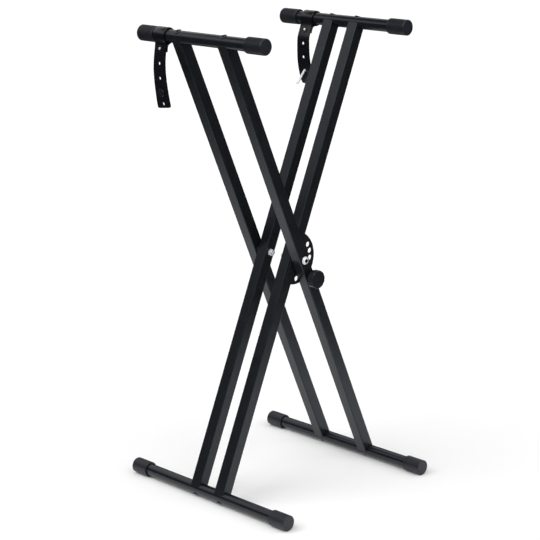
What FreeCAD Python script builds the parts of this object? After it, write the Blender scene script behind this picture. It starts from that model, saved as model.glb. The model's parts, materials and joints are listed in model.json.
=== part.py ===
import FreeCAD, Part
import math
import os

import Sketcher

from FreeCAD import Placement, Rotation, Vector

# Folding keyboard stand: two crossed frames that turn on a pair of pivot bolts.
# +Z is up, the arms and foot tubes run along Y, and the frames fold in the XZ plane.
# The origin lies on the floor, halfway between the feet and under the pivot.
# The inner frame leans to +X and carries the right arm and the left foot; the outer
# frame leans to -X and carries the left arm, the right foot and the pull knob.

# Driving sizes, in millimetres and degrees.
SIZES = (
    ("leg_width", 26.0, "square leg tube, outside"),
    ("leg_wall", 1.5, "leg tube wall"),
    ("leg_corner", 2.0, "leg tube corner radius"),
    ("arm_reach", 518.5, "pivot to arm axis, along the leg"),
    ("foot_reach", 526.0, "pivot to foot axis, along the leg"),
    ("inner_offset", 36.0, "inner legs to the mid plane"),
    ("leg_gap", 4.4, "between inner and outer legs"),
    ("tube_diameter", 26.0, "arm and foot tubes, outside"),
    ("tube_wall", 1.6, "arm and foot tube wall"),
    ("arm_length", 350.0, "arm tube"),
    ("foot_length", 460.0, "foot tube"),
    ("saddle_land", 3.0, "leg end short of the tube's axis"),
    ("cap_wall", 3.5, "rubber cap round the tube"),
    ("cap_end", 4.0, "rubber over the tube's end"),
    ("cap_edge", 1.6, "rounding of the cap's end"),
    ("cap_lip", 0.8, "rounding of the cap's mouth"),
    ("arm_cap_length", 47.0, "arm cap"),
    ("foot_cap_length", 44.0, "foot cap"),
    ("rib_depth", 0.7, "grooves between the ribs of an arm cap"),
    ("rib_count", 40.0, "ribs round an arm cap"),
    ("rib_inset", 4.0, "smooth band beyond each end of the ribs"),
    ("plate_thickness", 3.0, "half-moon stop plate"),
    ("plate_radius", 56.5, "stop plate rim"),
    ("plate_overhang", 10.0, "stop plate beyond the leg's axis"),
    ("plate_corner", 6.0, "stop plate corners"),
    ("stop_inset", 11.3, "ring of stop holes, in from the plate's rim"),
    ("stop_hole", 11.5, "stop hole diameter"),
    ("first_stop", 27.5, "opening held by the first stop"),
    ("stop_pitch", 19.5, "turn from stop to stop"),
    ("stop_count", 7.0, "number of stops"),
    ("seat_gap", 0.1, "under the hardware on the bent straps"),
    ("fit", 0.05, "clearance of fitted pieces, per side"),
    ("pivot_bolt", 8.0, "pivot bolt shank"),
    ("pivot_flats", 13.0, "pivot nut across flats"),
    ("pivot_head", 4.2, "pivot bolt head height over its seat"),
    ("head_dome", 14.5, "pivot bolt head, round of the dome"),
    ("head_rounding", 2.4, "pivot bolt head, rounding of the dome"),
    ("head_flange", 17.5, "pivot bolt head, flange"),
    ("head_flange_thickness", 1.2, "pivot bolt head, flange"),
    ("pivot_socket", 6.0, "pivot bolt socket across flats"),
    ("pivot_socket_depth", 2.7, "pivot bolt socket depth"),
    ("pivot_stand", 1.5, "pivot bolt beyond its nut"),
    ("pivot_point", 1.0, "rounding of the pivot bolt's end"),
    ("nut_hex", 5.8, "lock nut, height of the hexagon"),
    ("nut_crown", 2.2, "lock nut, height of the crown"),
    ("nut_crown_diameter", 12.0, "lock nut, round of the crown"),
    ("nut_crown_rounding", 0.8, "lock nut, rounding of the crown"),
    ("nut_ring_diameter", 10.2, "nylon ring in the lock nut"),
    ("nut_ring_height", 2.4, "nylon ring in the lock nut"),
    ("washer_diameter", 18.0, "pivot washers"),
    ("washer_thickness", 1.0, "pivot washers"),
    ("sleeve_wall", 2.0, "crush sleeves in the legs"),
    ("spacer_diameter", 22.0, "nylon spacers between the legs"),
    ("screw", 8.0, "arm and foot screw shank"),
    ("screw_head", 15.0, "countersunk head"),
    ("screw_proud", 0.2, "head above the tube's crest"),
    ("screw_rim", 0.8, "straight rim of the head"),
    ("screw_length", 45.0, "arm and foot screws overall"),
    ("screw_socket", 5.0, "hexagon socket across flats"),
    ("socket_depth", 3.0, "hexagon socket depth"),
    ("plug_depth", 34.0, "threaded plug, from the tube's axis"),
    ("plunger_bore", 12.6, "spring chamber in the plunger barrel"),
    ("plunger_wall", 1.2, "plunger barrel wall"),
    ("plunger_flange", 20.0, "flange against the leg"),
    ("flange_thickness", 3.0, "plunger flange"),
    ("barrel_stand", 9.5, "barrel beyond the leg"),
    ("barrel_cap", 4.0, "closed end of the barrel"),
    ("pin_diameter", 10.0, "lock pin"),
    ("pin_clearance", 0.3, "pin tip to the stop plate, drawn back"),
    ("pin_nose", 1.0, "chamfer of the pin tip"),
    ("bush_length", 8.0, "guide bush of the pin"),
    ("pin_travel", 4.0, "pin from drawn back to locked"),
    ("collar_thickness", 2.0, "collar on the pin"),
    ("stem_diameter", 6.0, "pin stem that carries the knob"),
    ("stem_grip", 10.0, "stem inside the knob"),
    ("spring_wire", 1.0, "plunger spring wire"),
    ("spring_turns", 5.5, "plunger spring turns"),
    ("knob_diameter", 39.5, "pull knob over its lobes"),
    ("knob_length", 13.5, "pull knob"),
    ("knob_edge", 2.0, "rounding of the knob's face"),
    ("knob_flutes", 12.0, "flutes round the knob"),
    ("flute_radius", 3.0, "radius of a flute"),
    ("flute_depth", 1.8, "depth of a flute"),
    ("knob_hub", 16.0, "hub inside the knob"),
    ("knob_shell", 3.0, "wall of the knob's skirt"),
    ("strap_width", 33.0, "rubber strap at its loop"),
    ("strap_flare", 39.5, "rubber strap at its tail's end"),
    ("strap_thickness", 3.5, "rubber strap"),
    ("strap_slack", 0.3, "strap loop to arm tube"),
    ("strap_corner", 4.0, "corners of the strap's end"),
    ("strap_hole", 6.5, "holes in the strap"),
    ("hole_pitch", 30.0, "hole to hole along the strap"),
    ("last_hole", 24.0, "button hole to the last hole"),
    ("strap_end", 8.5, "last hole to the strap's end"),
    ("lap_length", 11.0, "strap end behind its eyelet"),
    ("lap_gap", 0.3, "between the lapped layers"),
    ("lap_margin", 0.5, "flat rubber beyond the eyelet's flange"),
    ("left_strap_place", 113.2, "left strap to the mid plane"),
    ("right_strap_place", 97.5, "right strap to the mid plane"),
    ("button_diameter", 17.0, "strap button head"),
    ("button_height", 2.6, "strap button head"),
    ("button_foot", 9.0, "retaining flange behind the strap"),
    ("foot_height", 1.4, "retaining flange behind the strap"),
    ("eyelet_diameter", 14.0, "eyelet flange"),
    ("eyelet_height", 1.2, "eyelet flange"),
    ("eyelet_wall", 1.0, "eyelet barrel wall"),
    ("peg_diameter", 5.0, "steel peg on the right strap"),
    ("peg_length", 33.0, "slanting arm of the peg"),
    ("peg_bend", 5.0, "bend radius of the peg"),
    ("peg_slant", 34.0, "turn of the peg's bend"),
    ("peg_head", 9.0, "rivet head of the peg"),
)


class Size:
    """A size with its number and the sheet expression that the number comes from."""

    def __init__(self, value, text):
        self.value = value
        self.text = text

    def joined(self, other, sign, value):
        return Size(value, f"({self.text} {sign} {text_of(other)})")

    def __add__(self, other):
        return self.joined(other, "+", self.value + value_of(other))

    def __sub__(self, other):
        return self.joined(other, "-", self.value - value_of(other))

    def __mul__(self, other):
        return self.joined(other, "*", self.value * value_of(other))

    def __truediv__(self, other):
        return self.joined(other, "/", self.value / value_of(other))

    def __neg__(self):
        return self * -1.0


def value_of(size):
    return size.value if isinstance(size, Size) else size


def text_of(size):
    return size.text if isinstance(size, Size) else f"({size})"


ZERO = Size(0.0, "0")
doc = FreeCAD.newDocument("KeyboardStand")
sheet = doc.addObject("Spreadsheet::Sheet", "Sizes")
for row, (alias, value, note) in enumerate(SIZES, start=1):
    sheet.set(f"A{row}", note)
    sheet.set(f"B{row}", str(value))
    sheet.setAlias(f"B{row}", alias)
doc.recompute()


def size(alias):
    """Read one driving size back from the sheet."""
    return Size(float(getattr(sheet, alias)), f"Sizes.{alias}")


# Sizes that several pieces share.
leg_half = size("leg_width") / 2
outer_offset = size("inner_offset") + size("leg_width") + size("leg_gap")
tube_radius = size("tube_diameter") / 2
cap_radius = tube_radius + size("cap_wall")
sleeve_radius = size("pivot_bolt") / 2 + size("fit") + size("sleeve_wall")
barrel_radius = size("plunger_bore") / 2 + size("plunger_wall")
stop_radius = size("plate_radius") - size("stop_inset")
outer_inner_face = outer_offset - leg_half
lean = (size("first_stop").value + size("stop_pitch").value) / 2
pivot_height = cap_radius.value + size("foot_reach").value * math.cos(math.radians(lean))

UP_Y = Vector(0, 1, 0)
TURN_OVER = Placement(Vector(0, 0, 0), Rotation(UP_Y, 180))
PIVOT = Placement(Vector(0, 0, pivot_height), Rotation())
# Frame axes: the origin is on the pivot and +Z runs up the frame's legs.
INNER = PIVOT.multiply(Placement(Vector(0, 0, 0), Rotation(UP_Y, lean)))
OUTER = PIVOT.multiply(Placement(Vector(0, 0, 0), Rotation(UP_Y, -lean)))
# A turned piece drawn along +Z points to the near side, -Y, once it is laid over.
TO_NEAR_SIDE = Rotation(Vector(1, 0, 0), 90)
TO_FAR_SIDE = Rotation(Vector(1, 0, 0), -90)

nodes = []

# Two lengths nearer than this are the same, and so are two directions or bends.
SAME_LENGTH = 1e-3
SAME_TURN = 1e-6
# How far a cutter reaches beyond the faces that it opens.
CUT_MARGIN = 1.0


# ---------------------------------------------------------------- drawing helpers

def start_body(label):
    body = doc.addObject("PartDesign::Body", label)
    body.Label = label
    nodes.append(body)
    return body


def seat(piece, frame, position=Vector(0, 0, 0), turn=Rotation()):
    """Put a piece at its place in the stand."""
    piece.Placement = frame.multiply(Placement(position, turn))


def origin_feature(body, role):
    return next(item for item in body.Origin.OriginFeatures if item.Role == role)


def sketch_on(body, plane, name, lift=ZERO):
    """Start a sketch on one of the body's origin planes, lifted along the plane's normal."""
    sketch = body.newObject("Sketcher::SketchObject", name)
    sketch.AttachmentSupport = [(origin_feature(body, plane), "")]
    sketch.MapMode = "FlatFace"
    sketch.AttachmentOffset = Placement(Vector(0, 0, lift.value), Rotation())
    sketch.setExpression("AttachmentOffset.Base.z", lift.text)
    return sketch


def hold(sketch, kind, geometry, vertex, distance):
    """Keep a vertex at a signed distance from the sketch's origin."""
    if distance.value < 0:
        ends = (geometry, vertex, -1, 1)
        distance = -distance
    else:
        ends = (-1, 1, geometry, vertex)
    index = sketch.addConstraint(Sketcher.Constraint(kind, *ends, distance.value))
    sketch.setExpression(f"Constraints[{index}]", distance.text)


def locate(sketch, geometry, vertex, across, up):
    """Fix a vertex by its two sizes; a size of nothing puts it on the axis."""
    for kind, axis, distance in (("DistanceX", -2, across), ("DistanceY", -1, up)):
        if distance.value == 0:
            sketch.addConstraint(Sketcher.Constraint("PointOnObject", geometry, vertex, axis))
        else:
            hold(sketch, kind, geometry, vertex, distance)


def draw_outline(sketch, corners):
    """Draw a closed outline of straight sides, each corner held by its two sizes."""
    first = sketch.GeometryCount
    points = [Vector(across.value, up.value, 0) for across, up in corners]
    for start, end in zip(points, points[1:] + points[:1]):
        sketch.addGeometry(Part.LineSegment(start, end))
    for side in range(len(corners)):
        following = first + (side + 1) % len(corners)
        sketch.addConstraint(Sketcher.Constraint("Coincident", first + side, 2, following, 1))
    for side, (across, up) in enumerate(corners):
        locate(sketch, first + side, 1, across, up)


def draw_circle(sketch, radius, across=ZERO, up=ZERO):
    """Draw a circle held by its radius and centre."""
    centre = Vector(across.value, up.value, 0)
    index = sketch.addGeometry(Part.Circle(centre, Vector(0, 0, 1), radius.value))
    constraint = sketch.addConstraint(Sketcher.Constraint("Radius", index, radius.value))
    sketch.setExpression(f"Constraints[{constraint}]", radius.text)
    locate(sketch, index, 3, across, up)


def draw_box(sketch, half_across, half_up, across=ZERO):
    """Draw a rectangle round a point on the sketch's X axis."""
    near, far = across - half_across, across + half_across
    draw_outline(sketch, [(near, -half_up), (far, -half_up), (far, half_up), (near, half_up)])


def draw_hexagon(sketch, flats, up=ZERO):
    """Draw a hexagon from its size across flats."""
    side = flats / 2 / math.cos(math.radians(30))
    rise = side / 2
    corners = [(ZERO, up - side), (flats / 2, up - rise), (flats / 2, up + rise)]
    corners += [(ZERO, up + side), (flats / -2, up + rise), (flats / -2, up - rise)]
    draw_outline(sketch, corners)


def raise_pad(body, sketch, length, name="Pad", both_ways=False):
    pad = body.newObject("PartDesign::Pad", name)
    pad.Profile = sketch
    pad.Length = length.value
    pad.setExpression("Length", length.text)
    pad.SideType = "Symmetric" if both_ways else "One side"
    doc.recompute()
    return pad


def cut(body, sketch, name, length=None):
    """Cut a sketch right through, or up from its plane by a length, and check that it cut."""
    before = body.Shape.Volume
    pocket = body.newObject("PartDesign::Pocket", name)
    pocket.Profile = sketch
    if length is None:
        pocket.Type = "ThroughAll"
        pocket.Type2 = "ThroughAll"
        pocket.SideType = "Symmetric"
    else:
        pocket.Length = length.value
        pocket.setExpression("Length", length.text)
        pocket.Reversed = True
    doc.recompute()
    if body.Shape.Volume >= before:
        raise RuntimeError(f"{name} of {body.Label} cuts nothing")
    return pocket


def turn(body, corners, name="Revolution", plane="XZ_Plane", lift=ZERO):
    """Revolve an outline of (radius, height) corners about the sketch's upright axis."""
    sketch = sketch_on(body, plane, f"{name}Profile", lift)
    draw_outline(sketch, corners)
    feature = body.newObject("PartDesign::Revolution", name)
    feature.Profile = sketch
    feature.ReferenceAxis = (sketch, ["V_Axis"])
    feature.Angle = 360
    doc.recompute()
    return feature


def turn_away(body, corners, name, lift=ZERO):
    """Cut a revolved outline out of a body, and check that it cut."""
    before = body.Shape.Volume
    sketch = sketch_on(body, "XZ_Plane", f"{name}Profile", lift)
    draw_outline(sketch, corners)
    groove = body.newObject("PartDesign::Groove", name)
    groove.Profile = sketch
    groove.ReferenceAxis = (sketch, ["V_Axis"])
    groove.Angle = 360
    doc.recompute()
    if body.Shape.Volume >= before:
        raise RuntimeError(f"{name} of {body.Label} cuts nothing")
    return groove


def mirror(body, features, plane="XZ_Plane"):
    """Repeat features on the other side of the mid plane."""
    copy = body.newObject("PartDesign::Mirrored", "OtherSide")
    copy.Originals = features
    copy.MirrorPlane = (origin_feature(body, plane), [""])
    body.Tip = copy
    doc.recompute()
    return copy


def ring_of(body, feature, sketch, count, angle=None, name="Ring"):
    """Repeat a feature about a sketch's normal, round a full turn or over an angle."""
    pattern = body.newObject("PartDesign::PolarPattern", name)
    pattern.Originals = [feature]
    pattern.Axis = (sketch, ["N_Axis"])
    pattern.Angle = 360 if angle is None else angle.value
    if angle is not None:
        pattern.setExpression("Angle", angle.text)
    pattern.Occurrences = int(count.value)
    pattern.setExpression("Occurrences", count.text)
    body.Tip = pattern
    doc.recompute()
    return pattern


def round_edges(body, radius, wanted, name="Rounding"):
    """Fillet the edges of a body that a test picks out."""
    base = body.Tip
    edges = [f"Edge{i}" for i, edge in enumerate(base.Shape.Edges, start=1) if wanted(edge)]
    fillet = body.newObject("PartDesign::Fillet", name)
    fillet.Base = (base, edges)
    fillet.Radius = radius.value
    fillet.setExpression("Radius", radius.text)
    doc.recompute()
    return fillet


def is_straight(edge, direction):
    return edge.Curve.TypeId == "Part::GeomLine" and edge.Curve.Direction.cross(direction).Length < SAME_TURN


def is_ring_at(edge, radius, height):
    """True for a full circle about the body's Z axis at a radius and height."""
    if edge.Curve.TypeId != "Part::GeomCircle":
        return False
    close = abs(edge.Curve.Radius - radius.value) < SAME_LENGTH
    return close and abs(edge.Curve.Center.z - height.value) < SAME_LENGTH


def tube_profile(outer, inner, low, high):
    """Corners of a plain ring, for turning."""
    return [(inner, low), (outer, low), (outer, high), (inner, high)]


# ---------------------------------------------------------------- frames

def square_leg(label, frame, offset, has_plunger=False):
    """Square tube from foot to arm, saddled to both tubes and drilled at the pivot."""
    body = start_body(label)
    foot_end = size("foot_reach") - size("saddle_land")
    arm_end = size("arm_reach") - size("saddle_land")
    section = sketch_on(body, "XY_Plane", "Section", -foot_end)
    bore_half = leg_half - size("leg_wall")
    draw_box(section, leg_half, leg_half)
    draw_box(section, bore_half, bore_half)
    raise_pad(body, section, foot_end + arm_end, "Tube")

    def is_corner_at(edge, half):
        return is_straight(edge, Vector(0, 0, 1)) and abs(abs(edge.Vertexes[0].X) - half.value) < SAME_LENGTH

    inner_corner = size("leg_corner") - size("leg_wall")
    round_edges(body, size("leg_corner"), lambda edge: is_corner_at(edge, leg_half), "OuterCorners")
    round_edges(body, inner_corner, lambda edge: is_corner_at(edge, bore_half), "InnerCorners")
    saddles = sketch_on(body, "XZ_Plane", "SaddleSketch")
    draw_circle(saddles, tube_radius + size("fit"), ZERO, size("arm_reach"))
    draw_circle(saddles, tube_radius + size("fit"), ZERO, -size("foot_reach"))
    cut(body, saddles, "Saddles")
    holes = sketch_on(body, "XZ_Plane", "HoleSketch")
    draw_circle(holes, sleeve_radius + size("fit"))
    if has_plunger:
        draw_circle(holes, barrel_radius + size("fit"), ZERO, -stop_radius)
    cut(body, holes, "Holes")
    seat(body, frame, Vector(0, offset.value, 0))


def screw_profile(reach, clearance=ZERO, extra=ZERO):
    """Half outline of a countersunk screw in a tube, or of its hole with clearances."""
    top = reach + tube_radius + size("screw_proud")
    head = size("screw_head") / 2 + clearance
    shank = size("screw") / 2 + clearance
    rim = top - size("screw_rim")
    neck = rim - (head - shank)
    tip = top - size("screw_length") - extra
    return [(ZERO, tip), (shank, tip), (shank, neck), (head, rim), (head, top + extra), (ZERO, top + extra)]


def cross_tube(label, frame, reach, length, offset):
    """Round tube across the ends of a frame's legs, countersunk for its two screws."""
    body = start_body(label)
    section = sketch_on(body, "XZ_Plane", "Section")
    draw_circle(section, tube_radius, ZERO, reach)
    draw_circle(section, tube_radius - size("tube_wall"), ZERO, reach)
    raise_pad(body, section, length, "Tube", both_ways=True)
    seat_cut = turn_away(body, screw_profile(reach, size("fit"), size("screw_proud")), "ScrewHole", offset)
    mirror(body, [seat_cut])
    seat(body, frame)


def countersunk_screws(label, frame, reach, offset):
    """The pair of screws that hold a cross tube to its legs."""
    body = start_body(label)
    shank = turn(body, screw_profile(reach), "Screw", lift=offset)
    top = reach + tube_radius + size("screw_proud")
    socket = sketch_on(body, "XY_Plane", "SocketSketch", top - size("socket_depth"))
    draw_hexagon(socket, size("screw_socket"), -offset)
    recess = cut(body, socket, "Socket", size("socket_depth") + size("screw_proud"))
    mirror(body, [shank, recess])
    seat(body, frame)


def threaded_plugs(label, frame, reach, offset):
    """The pair of steel plugs welded into the leg ends for the screws."""
    body = start_body(label)
    half = leg_half - size("leg_wall") - size("fit")
    base = sketch_on(body, "XY_Plane", "Section", reach - size("plug_depth"))
    low, high = offset - half, offset + half
    draw_outline(base, [(-half, low), (half, low), (half, high), (-half, high)])
    block = raise_pad(body, base, size("plug_depth") - size("saddle_land"), "Block")
    saddle = sketch_on(body, "XZ_Plane", "SaddleSketch")
    draw_circle(saddle, tube_radius + size("fit"), ZERO, reach)
    saddle_cut = cut(body, saddle, "Saddle")
    thread = sketch_on(body, "XY_Plane", "ThreadSketch")
    draw_circle(thread, size("screw") / 2 + size("fit"), ZERO, offset)
    thread_cut = cut(body, thread, "ThreadedHole")

    def is_corner(edge):
        return is_straight(edge, Vector(0, 0, 1)) and abs(abs(edge.Vertexes[0].X) - half.value) < SAME_LENGTH

    corners = round_edges(body, size("leg_corner") - size("leg_wall"), is_corner, "Corners")
    mirror(body, [block, saddle_cut, thread_cut, corners])
    seat(body, frame)


def end_cap(label, frame, reach, tube_length, cap_length, side, ribbed=False):
    """Rubber cap pressed over a tube end; side is -1 for near and +1 for far."""
    body = start_body(label)
    mouth = size("cap_end") - cap_length
    bore = tube_radius + size("fit")
    top = size("cap_end")
    profile = [(ZERO, size("fit")), (bore, size("fit")), (bore, mouth)]
    profile += [(cap_radius, mouth), (cap_radius, top), (ZERO, top)]
    turn(body, profile, "Cup")
    round_edges(body, size("cap_edge"), lambda edge: is_ring_at(edge, cap_radius, top), "End")
    round_edges(body, size("cap_lip"), lambda edge: is_ring_at(edge, cap_radius, mouth), "Mouth")
    if ribbed:
        groove = sketch_on(body, "XY_Plane", "GrooveSketch", mouth + size("rib_inset"))
        draw_circle(groove, size("rib_depth"), cap_radius)
        groove_cut = cut(body, groove, "Groove", cap_length - size("rib_inset") * 2)
        ring_of(body, groove_cut, groove, size("rib_count"), name="Ribs")
    turn_out = TO_NEAR_SIDE if side < 0 else TO_FAR_SIDE
    seat(body, frame, Vector(0, side * tube_length.value / 2, reach.value), turn_out)


def crush_sleeves(label, frame, offset):
    """Steel sleeves through a pair of legs, which carry the pivot bolts."""
    body = start_body(label)
    section = sketch_on(body, "XZ_Plane", "Section", offset)
    draw_circle(section, sleeve_radius)
    draw_circle(section, size("pivot_bolt") / 2 + size("fit"))
    sleeve = raise_pad(body, section, size("leg_width"), "Sleeve", both_ways=True)
    mirror(body, [sleeve])
    seat(body, frame)


# ---------------------------------------------------------------- pivot and lock

def stop_plate():
    """Half-moon plate welded to the inner front leg, with its ring of stop holes."""
    body = start_body("lock_plate")
    face = size("inner_offset") + leg_half
    sketch = sketch_on(body, "XZ_Plane", "PlateSketch", face)
    radius, overhang = size("plate_radius"), size("plate_overhang")
    half_turn = math.acos(-overhang.value / radius.value)
    rim = Part.Circle(Vector(0, 0, 0), Vector(0, 0, 1), radius.value)
    sketch.addGeometry(Part.ArcOfCircle(rim, -half_turn, half_turn))
    ends = [Vector(-overhang.value, way * radius.value * math.sin(half_turn), 0) for way in (1, -1)]
    sketch.addGeometry(Part.LineSegment(*ends))
    sketch.addConstraint(Sketcher.Constraint("Coincident", 0, 3, -1, 1))
    sketch.addConstraint(Sketcher.Constraint("Coincident", 0, 2, 1, 1))
    sketch.addConstraint(Sketcher.Constraint("Coincident", 1, 2, 0, 1))
    sketch.addConstraint(Sketcher.Constraint("Vertical", 1))
    rim_size = sketch.addConstraint(Sketcher.Constraint("Radius", 0, radius.value))
    sketch.setExpression(f"Constraints[{rim_size}]", radius.text)
    hold(sketch, "DistanceX", 1, 1, -overhang)
    raise_pad(body, sketch, size("plate_thickness"), "Plate")

    def is_plate_corner(edge):
        near_edge = abs(edge.Vertexes[0].X + overhang.value) < SAME_LENGTH
        return is_straight(edge, UP_Y) and near_edge

    round_edges(body, size("plate_corner"), is_plate_corner, "Corners")
    centre = sketch_on(body, "XZ_Plane", "PivotHoleSketch")
    draw_circle(centre, size("pivot_bolt") / 2 + size("fit") * 2)
    cut(body, centre, "PivotHole")
    stop = sketch_on(body, "XZ_Plane", "StopSketch")
    stop.AttachmentOffset = Placement(Vector(0, 0, 0), Rotation(Vector(0, 0, 1), size("first_stop").value))
    stop.setExpression("AttachmentOffset.Rotation.Angle", size("first_stop").text)
    draw_circle(stop, size("stop_hole") / 2, ZERO, -stop_radius)
    hole = cut(body, stop, "Stop")
    sweep = size("stop_pitch") * (size("stop_count") - 1)
    ring_of(body, hole, stop, size("stop_count"), sweep, "Stops")
    seat(body, INNER)


# Along each pivot, from the seat under the bolt head in to the nut. Only the washer beside an
# outer leg has a gap, because the bolts and washers stay with the inner frame as it folds.
stack_washer = size("washer_thickness") + size("fit") + size("leg_width") * 2 + size("leg_gap")
stack_nut = stack_washer + size("washer_thickness")
nut_top = stack_nut + size("nut_hex") + size("nut_crown")
ring_seat = nut_top - size("nut_ring_height")
head_seat = outer_offset + leg_half + size("fit") + size("washer_thickness")
bolt_hole = size("pivot_bolt") / 2 + size("fit")


def seat_on_pivot(body, side):
    """Put a piece drawn from the bolt head's seat on its pivot; side is -1 for near."""
    turn_in = TO_FAR_SIDE if side < 0 else TO_NEAR_SIDE
    seat(body, PIVOT, Vector(0, side * head_seat.value, 0), turn_in)


def pivot_bolt(label, side):
    """Bolt with a domed, flanged socket head outside the outer leg and its end at the nut."""
    body = start_body(label)
    top, flange_top = -size("pivot_head"), -size("head_flange_thickness")
    flange, dome, shank = size("head_flange") / 2, size("head_dome") / 2, size("pivot_bolt") / 2
    end = nut_top + size("pivot_stand")
    profile = [(ZERO, top), (dome, top), (dome, flange_top), (flange, flange_top), (flange, ZERO)]
    profile += [(shank, ZERO), (shank, end), (ZERO, end)]
    turn(body, profile, "Bolt")
    round_edges(body, size("head_rounding"), lambda edge: is_ring_at(edge, dome, top), "Dome")
    flange_edge = size("head_flange_thickness") / 2
    round_edges(body, flange_edge, lambda edge: is_ring_at(edge, flange, flange_top), "FlangeEdge")
    round_edges(body, size("pivot_point"), lambda edge: is_ring_at(edge, shank, end), "Point")
    socket = sketch_on(body, "XY_Plane", "SocketSketch", top)
    draw_hexagon(socket, size("pivot_socket"))
    cut(body, socket, "Socket", size("pivot_socket_depth"))
    seat_on_pivot(body, side)


def lock_nut(label, side):
    """Hexagon nut with a round crown, bored out for its nylon ring."""
    body = start_body(label)
    hexagon = sketch_on(body, "XY_Plane", "HexagonSketch", stack_nut)
    draw_hexagon(hexagon, size("pivot_flats"))
    raise_pad(body, hexagon, size("nut_hex"), "Hexagon")
    crown = size("nut_crown_diameter") / 2
    crown_sketch = sketch_on(body, "XY_Plane", "CrownSketch", stack_nut + size("nut_hex"))
    draw_circle(crown_sketch, crown)
    raise_pad(body, crown_sketch, size("nut_crown"), "Crown")
    rounding = size("nut_crown_rounding")
    round_edges(body, rounding, lambda edge: is_ring_at(edge, crown, nut_top), "CrownEdge")
    thread = sketch_on(body, "XY_Plane", "ThreadSketch")
    draw_circle(thread, bolt_hole)
    cut(body, thread, "Thread")
    recess = sketch_on(body, "XY_Plane", "RingRecessSketch", ring_seat)
    draw_circle(recess, size("nut_ring_diameter") / 2 + size("fit"))
    cut(body, recess, "RingRecess", size("nut_ring_height"))
    seat_on_pivot(body, side)


def nut_ring(label, side):
    """Nylon ring in the nut's crown, which grips the bolt."""
    body = start_body(label)
    turn(body, tube_profile(size("nut_ring_diameter") / 2, bolt_hole, ring_seat, nut_top), "Ring")
    seat_on_pivot(body, side)


def washers(label, side):
    """The washers under a pivot bolt's head and nut."""
    body = start_body(label)
    rim = size("washer_diameter") / 2
    for name, low in (("HeadWasher", ZERO), ("NutWasher", stack_washer)):
        turn(body, tube_profile(rim, bolt_hole, low, low + size("washer_thickness")), name)
    seat_on_pivot(body, side)


def leg_spacer(label, side, gap):
    """Nylon ring that keeps an inner and an outer leg apart; side is -1 for near."""
    body = start_body(label)
    thickness = gap - size("fit") * 2
    turn(body, tube_profile(size("spacer_diameter") / 2, bolt_hole, ZERO, thickness), "Ring")
    outer_face = outer_inner_face.value - size("fit").value
    turn_in = TO_FAR_SIDE if side < 0 else TO_NEAR_SIDE
    seat(body, PIVOT, Vector(0, side * outer_face, 0), turn_in)


# Along the plunger, from the outer front leg's inner face out to the near side.
leg_out = size("leg_width")
barrel_end = leg_out + size("barrel_stand")
chamber_end = barrel_end - size("barrel_cap")
collar_low = size("bush_length") + size("pin_travel")
collar_high = collar_low + size("collar_thickness")
pin_tip = -(size("leg_gap") - size("plate_thickness") - size("pin_clearance"))
knob_back = barrel_end + size("fit") * 2
knob_face = knob_back + size("knob_length")
chamber = size("plunger_bore") / 2


def seat_on_plunger(body):
    seat(body, OUTER, Vector(0, -outer_inner_face.value, -stop_radius.value), TO_NEAR_SIDE)


def plunger_barrel():
    """Flanged barrel through the outer front leg, with the spring chamber inside."""
    body = start_body("plunger_barrel")
    stem_hole = size("stem_diameter") / 2 + size("fit")
    flange = size("plunger_flange") / 2
    shoulder = leg_out + size("fit")
    flange_top = shoulder + size("flange_thickness")
    profile = [(chamber, ZERO), (barrel_radius, ZERO), (barrel_radius, shoulder), (flange, shoulder)]
    profile += [(flange, flange_top), (barrel_radius, flange_top), (barrel_radius, barrel_end)]
    profile += [(stem_hole, barrel_end), (stem_hole, chamber_end), (chamber, chamber_end)]
    turn(body, profile, "Barrel")
    seat_on_plunger(body)


def pin_bush():
    """Guide bush pressed into the barrel's inner end."""
    body = start_body("pin_guide_bush")
    guide = size("pin_diameter") / 2 + size("fit")
    turn(body, tube_profile(chamber - size("fit"), guide, ZERO, size("bush_length")), "Bush")
    seat_on_plunger(body)


def lock_pin():
    """Spring-loaded pin with its collar and the stem that carries the knob."""
    body = start_body("lock_pin")
    pin = size("pin_diameter") / 2
    collar = chamber - size("fit") * 2
    stem = size("stem_diameter") / 2
    stem_end = knob_back + size("stem_grip")
    nose = size("pin_nose")
    profile = [(ZERO, pin_tip), (pin - nose, pin_tip), (pin, pin_tip + nose), (pin, collar_low)]
    profile += [(collar, collar_low), (collar, collar_high), (stem, collar_high), (stem, stem_end)]
    profile += [(ZERO, stem_end)]
    turn(body, profile, "Pin")
    seat_on_plunger(body)


def plunger_spring():
    """Compression spring between the pin's collar and the barrel's closed end."""
    body = start_body("plunger_spring")
    wire = size("spring_wire") / 2
    middle = (chamber + size("stem_diameter") / 2) / 2
    low = collar_high + wire + size("fit")
    height = chamber_end - collar_high - size("spring_wire") - size("fit") * 2
    section = sketch_on(body, "XZ_Plane", "WireSketch")
    draw_circle(section, wire, middle, low)
    helix = body.newObject("PartDesign::AdditiveHelix", "Coil")
    helix.Profile = section
    helix.ReferenceAxis = (section, ["V_Axis"])
    helix.Mode = "height-turns-angle"
    helix.Height = height.value
    helix.setExpression("Height", height.text)
    helix.Turns = size("spring_turns").value
    helix.setExpression("Turns", size("spring_turns").text)
    helix.Angle = 0
    doc.recompute()
    seat_on_plunger(body)


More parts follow.
